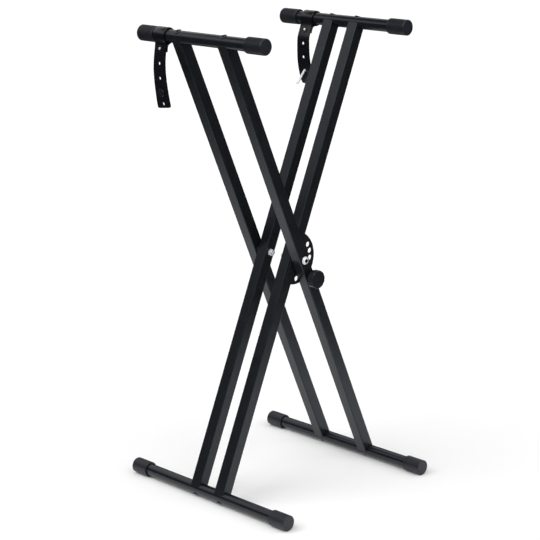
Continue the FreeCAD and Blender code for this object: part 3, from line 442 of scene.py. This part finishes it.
# How each strap hangs: its joint, where its lap lies from the arm's axis, its lean there in
# degrees, the bends of its tail as (length, degrees), and the slope of its end's cut.
HANGS = {
    "left_strap": {
        "joint": "left_strap_swing", "lap": (-0.0101, -0.0263), "lean": 8.5,
        "tail": ((0.012, 0.0), (0.026, 8.0), (0.026, 7.0), (0.0585, 5.5)), "slant": 0.115,
    },
    "right_strap": {
        "joint": "right_strap_swing", "lap": (-0.0187, -0.0234), "lean": 20.0,
        "tail": ((0.012, 0.0), (0.013, 19.0), (0.025, 3.0), (0.0725, 24.2)), "slant": 0.0,
    },
}
# The loop's middle line: the arm tube's radius, the slack round it and half a strap.
LOOP_RADIUS = 0.0130 + 0.0003 + 0.00175
# The lap: how far its layers part, its straight stretches at the front and back, and its end.
LAP_SPREAD = 0.0038
LAP_FLAT = 0.0075
BACK_FLAT = 0.0030
LAP_LENGTH = 0.0060
# The evenly spaced holes, the gap from them to the last one, and the cut of a hole.
HOLE_COUNT = 4
LAST_HOLE = 0.024
HOLE_SIDES = 40
HOLE_RIM = 0.0006
CUT_CLEARANCE = 0.002
# How far up the tail the slant of its end dies away.
SLANT_FADE = 0.018
SHARP_EDGE = math.radians(40)
ACROSS = Vector((0.0, 1.0, 0.0))
# Where the sections lie that round a tail's end, and the gap after them, in corner radii.
END_SECTIONS = (0.0, 0.08, 0.25, 0.5)
END_GAP = 0.75


def reach_over(station, side, radius):
    """Arc from a lap station to the loop about the arm: its length, bend and contact angle."""
    normal = station.left() * side
    lead = station.point.dot(normal)
    arc_radius = (station.point.length_squared - radius ** 2) / (2 * (radius - lead))
    centre = station.point + normal * arc_radius
    contact = math.atan2(centre.z, centre.x)
    away = station.point - centre
    bend = (contact + math.pi - math.atan2(away.z, away.x) + math.pi) % (2 * math.pi) - math.pi
    return arc_radius * abs(bend), bend, contact


def lap_station(hang):
    return Station(Vector((hang["lap"][0], 0.0, hang["lap"][1])), math.pi / 2 - math.radians(hang["lean"]))


def tail_station(hang, distance):
    """The tail's middle line at a distance below the lap, heading down."""
    lap = lap_station(hang)
    station = Station(lap.point, lap.heading + math.pi)
    for length, bend in hang["tail"]:
        turn = math.radians(bend)
        if distance <= length:
            return station.after(distance, turn * distance / length)
        station = station.after(length, turn)
        distance -= length
    return station


def band_stations(hang, step):
    """Stations from the tail's end, up over the arm and down to the lapped end."""
    tail_length = sum(length for length, bend in hang["tail"])
    count = round(tail_length / step)
    stations = []
    for i in range(count, 0, -1):
        below = tail_station(hang, tail_length * i / count)
        stations.append(Station(below.point, below.heading - math.pi))
    lap = lap_station(hang)
    rise = lap.after(LAP_FLAT, 0.0)
    part = lap.after(BACK_FLAT, 0.0)
    back = Station(part.point - part.left() * LAP_SPREAD, part.heading)
    front_length, front_bend, front_contact = reach_over(rise, 1, LOOP_RADIUS)
    back_length, back_bend, back_contact = reach_over(back, -1, LOOP_RADIUS)
    over = (front_contact - back_contact) % (2 * math.pi)
    runs = [(LAP_FLAT, 0.0), (front_length, front_bend), (LOOP_RADIUS * over, -over)]
    runs += [(back_length, -back_bend), (BACK_FLAT + LAP_LENGTH, 0.0)]
    station = lap
    for length, bend in runs:
        pieces = max(2, round(length / step))
        stations += [station.after(length * i / pieces, bend * i / pieces) for i in range(pieces)]
        station = station.after(length, bend)
    return stations + [station]


def rounded_section(half_width, half_thickness, radius, steps=4):
    """Points round a strap's section, as (across, out) pairs."""
    points = []
    for corner in range(4):
        side = 1 if corner in (0, 3) else -1
        face = 1 if corner in (0, 1) else -1
        for i in range(steps + 1):
            angle = math.pi / 2 * (corner + i / steps)
            across = side * (half_width - radius) + radius * math.cos(angle)
            out = face * (half_thickness - radius) + radius * math.sin(angle)
            points.append((across, out))
    return points


def band_mesh(name, hang, strap):
    """The strap as a swept rounded section, flared and slanted towards its tail's rounded end."""
    section = rounded_section(strap.width / 2, strap.thickness / 2, strap.edge)
    stations = band_stations(hang, strap.step)
    points, run = [], 0.0
    end = stations[0]
    rounding = [end.after(strap.corner * share, 0.0) for share in END_SECTIONS]
    stations = rounding + [s for s in stations if (s.point - end.point).length > strap.corner * END_GAP]
    lap_height = hang["lap"][1]
    slope = (strap.flare - strap.width) / 2 / (lap_height - end.point.z)
    for i, station in enumerate(stations):
        if i:
            run += (station.point - stations[i - 1].point).length
        inset = max(0.0, strap.corner - run)
        narrow = strap.corner - math.sqrt(max(0.0, strap.corner ** 2 - inset ** 2))
        flared = strap.width / 2 + slope * max(0.0, lap_height - station.point.z)
        scale = (flared - narrow) / (strap.width / 2)
        out = station.left()
        fade = min(1.0, max(0.0, (SLANT_FADE - run) / (SLANT_FADE - strap.corner)))
        up = Vector((math.cos(station.heading), 0.0, math.sin(station.heading)))
        sideways = ACROSS - up * hang["slant"] * fade
        points += [station.point + out * thick + sideways * across * scale for across, thick in section]
    return mesh_from(name, points, rings_to_faces(len(stations), len(section)))


def turned_mesh(name, station, levels, sides):
    """A turned solid through a strap, given as (radius, height out of its middle line) levels."""
    outward = station.left() * -1
    along = outward.cross(ACROSS)
    points = []
    for radius, height in levels:
        for i in range(sides):
            angle = 2 * math.pi * i / sides
            spoke = ACROSS * math.cos(angle) + along * math.sin(angle)
            points.append(station.point + outward * height + spoke * radius)
    mesh = mesh_from(name, points, rings_to_faces(len(levels), sides))
    face_outward(mesh)
    return mesh


def hole_cutter(station, strap, depth):
    """A plug with flared ends that cuts a strap's hole and its softened rims."""
    radius, top = strap.hole / 2, strap.thickness / 2
    rim, bottom = radius + HOLE_RIM, top - depth
    levels = [(rim, top + CUT_CLEARANCE), (rim, top), (radius, top - HOLE_RIM)]
    levels += [(radius, bottom + HOLE_RIM), (rim, bottom), (rim, bottom - CUT_CLEARANCE)]
    return make_object("cutter", turned_mesh("cutter", station, levels, HOLE_SIDES))


def seat_on_arm(made, node):
    """Move a mesh built about the origin to the axis of its strap's arm, and crease its edges."""
    made.data.transform(Matrix.Translation(Vector(JOINTS[HANGS[node]["joint"]]["pos_m"])))
    made.data.set_sharp_from_angle(angle=SHARP_EDGE)


def rubber_strap(node, material):
    """A rubber band round an arm with its lap, its hanging tail and its holes."""
    strap, hang = settings().strap, HANGS[node]
    made = make_object(f"{node}_band", band_mesh(node, hang, strap), material)
    face_outward(made.data)
    distances = [strap.pitch * i for i in range(HOLE_COUNT)]
    distances.append(distances[-1] + LAST_HOLE)
    cutters = []
    for distance in distances:
        depth = strap.thickness + (LAP_SPREAD if distance == 0 else 0.0)
        cutter = hole_cutter(tail_station(hang, distance), strap, depth)
        cut = made.modifiers.new("hole", "BOOLEAN")
        cut.object = cutter
        cut.solver = "EXACT"
        cutters.append(cutter)
    apply_modifiers(made)
    for cutter in cutters:
        bpy.data.objects.remove(cutter, do_unlink=True)
    seat_on_arm(made, node)
    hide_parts(node)
    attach(made, BODY_OF[node])


# A rivet through a lap's eyelet, from its head behind the lap: (radius, height out of the strap's
# middle line).
RIVET_PROFILE = (
    (0.0050, -0.0076), (0.0056, -0.0073), (0.0056, -0.0068), (0.0026, -0.0068),
    (0.0026, 0.0030), (0.0023, 0.0034), (0.0014, 0.0037),
)
RIVET_SIDES = 32


def lap_rivet(node, eyelet, material):
    """Bright rivet that fills the middle of a lap's eyelet and heads over behind it."""
    station = tail_station(HANGS[node], 0.0)
    mesh = turned_mesh("rivet", station, RIVET_PROFILE, RIVET_SIDES)
    made = make_object(f"{node}_rivet", mesh, material)
    seat_on_arm(made, node)
    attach(made, BODY_OF[eyelet])


# ---------------------------------------------------------------- plunger

def plunger_coil(node):
    """The plunger's spring as a piece of its own, a copy of the CAD spring on the same body."""
    solid = NODES[node]
    mesh = solid.data.copy()
    mesh.transform(solid.matrix_world)
    coil = make_object(f"{node}_coil", mesh)
    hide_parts(node)
    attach(coil, BODY_OF[node])
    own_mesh(coil)


# ---------------------------------------------------------------- studio

# The cards that only reflections show: the dark ones' colour, and each one's reach in metres.
DARK_CARD = (0.055, 0.058, 0.065)
CARD_SIDES = 64
FLOOR_CARD_HEIGHT = 0.001
WALL_RADIUS = 4.0
CEILING_CLEAR = 1.4
CEILING_RADIUS = 1.7
CEILING_HEIGHT = 2.3
LIT_FULL = 0.9
LIT_RADIUS = 1.3
LIT_PLACE = (-0.5, -1.7, 2.25)
# How far the floor lies below the feet, clear of them.
FLOOR_DROP = 0.0002
# Each lamp by its setting: the direction to it from the stand, and its spread in degrees.
LAMPS = {
    "key": ((-0.66, 0.30, 0.80), 50),
    "top": ((0.1, -0.25, 1.0), 110),
    "fill": ((0.1, -0.92, 0.38), 80),
}


def floor_material(whiteness):
    """Plain pale floor."""
    floor = Finish("studio_floor")
    tone = floor.uneven(whiteness, below=0.004, above=0.004, width=0.8)
    mixed = floor.add("ShaderNodeCombineColor")
    for channel in ("Red", "Green", "Blue"):
        floor.join(tone, mixed.inputs[channel])
    return floor.finish(mixed.outputs["Color"], Roughness=1.0, Specular_IOR_Level=0.0)


def unlit(card, amount, colour, strength=1.0):
    """Turn a finish into an unlit colour that a map fades to clear."""
    card.tree.nodes.remove(card.shader)
    glow = card.add("ShaderNodeEmission")
    glow.inputs["Color"].default_value = (*colour, 1.0)
    glow.inputs["Strength"].default_value = strength
    clear = card.add("ShaderNodeBsdfTransparent")
    mix = card.add("ShaderNodeMixShader")
    card.join(amount, mix.inputs[0])
    card.join(clear.outputs[0], mix.inputs[1])
    card.join(glow.outputs[0], mix.inputs[2])
    card.join(mix.outputs[0], card.tree.nodes["Material Output"].inputs["Surface"])
    return card.material


def dark_card_material(name, measure, clear_end, dark_end):
    """Dark card that fades with the distance from the stand's axis or with the height."""
    card = Finish(name)
    axes = card.axes()
    value = card.distance(axes, ("X", "Y")) if measure == "distance" else axes["Z"]
    return unlit(card, card.spread(value, 0.0, 1.0, clear_end, dark_end), DARK_CARD)


def bright_card_material(name, strength):
    """White card that fades towards its rim."""
    card = Finish(name)
    amount = card.spread(card.length_of(card.place), 1.0, 0.0, LIT_FULL, LIT_RADIUS)
    return unlit(card, amount, (1.0, 1.0, 1.0), strength)


def only_in_reflections(card):
    card.visible_camera = False
    card.visible_diffuse = False
    card.visible_transmission = False
    card.visible_volume_scatter = False
    card.visible_shadow = False


def disc_card(name, radius, height, material):
    mesh = mesh_from(name, circle(radius, height, CARD_SIDES), [tuple(range(CARD_SIDES))], smooth=False)
    card = make_object(name, mesh, material)
    only_in_reflections(card)
    return card


def wall_card(name, radius, height, material):
    points = circle(radius, 0.0, CARD_SIDES) + circle(radius, height, CARD_SIDES)
    mesh = mesh_from(name, points, rings_to_faces(2, CARD_SIDES, closed_ends=False))
    only_in_reflections(make_object(name, mesh, material))


def soft_sun(name, strength, direction, spread):
    """A broad, soft lamp far away; direction points from the stand to the lamp."""
    lamp = bpy.data.lights.new(name, "SUN")
    lamp.energy = strength
    lamp.angle = math.radians(spread)
    made = bpy.data.objects.new(name, lamp)
    bpy.context.scene.collection.objects.link(made)
    made.rotation_mode = "QUATERNION"
    made.rotation_quaternion = Vector(direction).to_track_quat("Z", "Y")
    made.visible_glossy = False


def white_surround(ambient):
    """World light: plain white to the eye and in reflections, softer as lighting."""
    scene = bpy.context.scene
    world = scene.world or bpy.data.worlds.new("studio")
    scene.world = world
    world.use_nodes = True
    tree = world.node_tree
    tree.nodes.clear()
    out = tree.nodes.new("ShaderNodeOutputWorld")
    back = tree.nodes.new("ShaderNodeBackground")
    path = tree.nodes.new("ShaderNodeLightPath")
    seen = path.outputs["Is Camera Ray"]
    for name in ("Is Glossy Ray", "Is Transmission Ray"):
        either = tree.nodes.new("ShaderNodeMath")
        either.operation = "MAXIMUM"
        tree.links.new(seen, either.inputs[0])
        tree.links.new(path.outputs[name], either.inputs[1])
        seen = either.outputs[0]
    back.inputs["Color"].default_value = (1.0, 1.0, 1.0, 1.0)
    level = tree.nodes.new("ShaderNodeMapRange")
    level.inputs["To Min"].default_value = ambient
    level.inputs["To Max"].default_value = 1.0
    tree.links.new(seen, level.inputs["Value"])
    tree.links.new(level.outputs["Result"], back.inputs["Strength"])
    tree.links.new(back.outputs[0], out.inputs["Surface"])


# Where the photograph was taken from, in metres and degrees, and the camera's sensor in millimetres.
CAMERA_PLACE = (-2.4385, -2.4308, 1.3844)
CAMERA_AZIMUTH = -44.808
CAMERA_DOWN = 14.968
CAMERA_ROLL = -0.5405
SENSOR_WIDTH = 36.0
NEAR_CLIP = 0.05
FAR_CLIP = 100.0


def place_camera(lens):
    azimuth, down, roll = (math.radians(a) for a in (CAMERA_AZIMUTH, CAMERA_DOWN, CAMERA_ROLL))
    flat = math.cos(down)
    ahead = Vector((-math.sin(azimuth) * flat, math.cos(azimuth) * flat, -math.sin(down)))
    level = Vector((math.cos(azimuth), math.sin(azimuth), 0.0))
    up = level.cross(ahead)
    right = level * math.cos(roll) + up * math.sin(roll)
    up = up * math.cos(roll) - level * math.sin(roll)
    data = bpy.data.cameras.new("photo_camera")
    data.lens = lens
    data.sensor_width = SENSOR_WIDTH
    data.clip_start, data.clip_end = NEAR_CLIP, FAR_CLIP
    camera = bpy.data.objects.new("photo_camera", data)
    bpy.context.scene.collection.objects.link(camera)
    turn = Matrix((right, up, -ahead)).transposed().to_4x4()
    camera.matrix_world = Matrix.Translation(CAMERA_PLACE) @ turn
    bpy.context.scene.camera = camera


# ---------------------------------------------------------------- operators

class STAND_OT_studio(bpy.types.Operator):
    """Set the floor, lamps, reflection cards and camera"""
    bl_idname = "stand.studio"
    bl_label = "Studio"

    def execute(self, context):
        studio = settings().studio
        half = FLOOR_WIDTH / 2
        corners = [(-half, -half, 0), (half, -half, 0), (half, half, 0), (-half, half, 0)]
        sheet = mesh_from("floor", corners, [(0, 1, 2, 3)], smooth=False)
        floor = make_object("floor", sheet, floor_material(studio.floor_white))
        floor.location.z = -FLOOR_DROP
        floor_dark = dark_card_material("dark_floor", "distance", studio.lit_floor, studio.lit_floor_end)
        disc_card("dark_floor_card", half, FLOOR_CARD_HEIGHT, floor_dark)
        wall_dark = dark_card_material("dark_wall", "height", studio.wall_high, studio.wall_low)
        wall_card("dark_wall_card", WALL_RADIUS, studio.wall_high, wall_dark)
        ceiling_dark = dark_card_material("dark_ceiling", "distance", CEILING_RADIUS, CEILING_CLEAR)
        disc_card("dark_ceiling_card", CEILING_RADIUS, CEILING_HEIGHT, ceiling_dark)
        lit = bright_card_material("lit_patch", studio.patch)
        disc_card("lit_patch_card", LIT_RADIUS, 0.0, lit).location = LIT_PLACE
        for name, (direction, spread) in LAMPS.items():
            soft_sun(f"{name}_light", getattr(studio, name), direction, spread)
        white_surround(studio.ambient)
        place_camera(studio.lens)
        context.scene.view_settings.view_transform = "Standard"
        return {"FINISHED"}


class STAND_OT_painted_steel(bpy.types.Operator):
    """Paint the legs, tubes and stop plate"""
    bl_idname = "stand.painted_steel"
    bl_label = "Painted steel"

    def execute(self, context):
        paint = settings().paint
        dress(powder_coat("leg_powder_coat", paint, paint.leg_roughness), "leg_paint", "plate_paint")
        dress(powder_coat("tube_powder_coat", paint, paint.tube_roughness), "tube_paint")
        return {"FINISHED"}


class STAND_OT_end_caps(bpy.types.Operator):
    """Dress the rubber caps of the arms and feet"""
    bl_idname = "stand.end_caps"
    bl_label = "End caps"

    def execute(self, context):
        rubber = settings().rubber
        skin = moulded_rubber("cap_rubber_skin", rubber.cap_colour, rubber.grain, rubber.roughness)
        dress(skin, "cap_rubber")
        return {"FINISHED"}


class STAND_OT_hardware(bpy.types.Operator):
    """Dress the bolts, nuts, washers, screws and spacers"""
    bl_idname = "stand.hardware"
    bl_label = "Bolts and nuts"

    def execute(self, context):
        hardware = settings().hardware
        zinc = hardware.zinc_colour
        bright = plated_steel("zinc_plate", zinc, roughness=0.42, metallic=0.4)
        dress(bright, "zinc_steel", "peg_steel")
        dress(moulded_plastic("lock_ring_nylon", hardware.ring_colour, roughness=0.4), "blue_nylon")
        bolts = ("front_pivot_bolt", "rear_pivot_bolt")
        pivot_height = JOINTS["fold"]["pos_m"][2]
        head_seat = abs(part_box(bolts[0])[0][1]) - BOLT_HEAD
        # The pivot bolts get zinc with painted shade in their sockets.
        dress_nodes(socket_shade_steel("bolt_zinc", zinc, pivot_height, head_seat), bolts)
        dress(plated_steel("spring_wire", tint(zinc, SPRING_TINT), roughness=0.35), "spring_steel")
        oxide = oxide_steel("black_oxide", hardware.oxide_colour)
        dress(oxide, "black_screws", "barrel_steel", "eyelet_metal")
        dress(moulded_plastic("black_nylon", NYLON, roughness=0.5), "nylon")
        return {"FINISHED"}


class STAND_OT_lock_knob(bpy.types.Operator):
    """Dress the pull knob and set its spring"""
    bl_idname = "stand.lock_knob"
    bl_label = "Pull knob"

    def execute(self, context):
        colour = settings().hardware.knob_colour
        plastic = moulded_plastic("knob_plastic_skin", colour, roughness=0.32)
        dress(plastic, "knob_plastic", "button_plastic")
        plunger_coil("plunger_spring")
        return {"FINISHED"}


class STAND_OT_straps(bpy.types.Operator):
    """Model the rubber straps"""
    bl_idname = "stand.straps"
    bl_label = "Rubber straps"

    def execute(self, context):
        rubber = settings().rubber
        matt = rubber.roughness - STRAP_GLOSS
        skin = moulded_rubber("strap_rubber_skin", rubber.strap_colour, rubber.grain, matt)
        zinc = settings().hardware.zinc_colour
        bright = plated_steel("rivet_steel", zinc, roughness=0.35, metallic=0.4)
        for node in HANGS:
            rubber_strap(node, skin)
            lap_rivet(node, f"{node}_eyelet", bright)
        return {"FINISHED"}


class STAND_PT_panel(bpy.types.Panel):
    """Keyboard stand"""
    bl_idname = "STAND_PT_panel"
    bl_label = "Keyboard stand"
    bl_space_type = "VIEW_3D"
    bl_region_type = "UI"
    bl_category = "Stand"

    def draw(self, context):
        for operator in OPERATORS:
            self.layout.operator(operator.bl_idname)
        for name in StandSettings.__annotations__:
            group = getattr(settings(), name)
            box = self.layout.box()
            box.label(text=name.title())
            for key in group.__annotations__:
                box.prop(group, key)


SETTING_GROUPS = (
    PaintSettings,
    RubberSettings,
    HardwareSettings,
    StrapSettings,
    StudioSettings,
    StandSettings,
)
OPERATORS = (
    STAND_OT_studio,
    STAND_OT_painted_steel,
    STAND_OT_end_caps,
    STAND_OT_hardware,
    STAND_OT_lock_knob,
    STAND_OT_straps,
)
CLASSES = (*SETTING_GROUPS, *OPERATORS, STAND_PT_panel)


def register():
    for each in CLASSES:
        bpy.utils.register_class(each)
    bpy.types.Scene.keyboard_stand = PointerProperty(type=StandSettings)


def unregister():
    del bpy.types.Scene.keyboard_stand
    for each in reversed(CLASSES):
        bpy.utils.unregister_class(each)


def main():
    register()
    for operator in OPERATORS:
        group, name = operator.bl_idname.split(".")
        getattr(getattr(bpy.ops, group), name)()


if __name__ == "__main__":
    main()
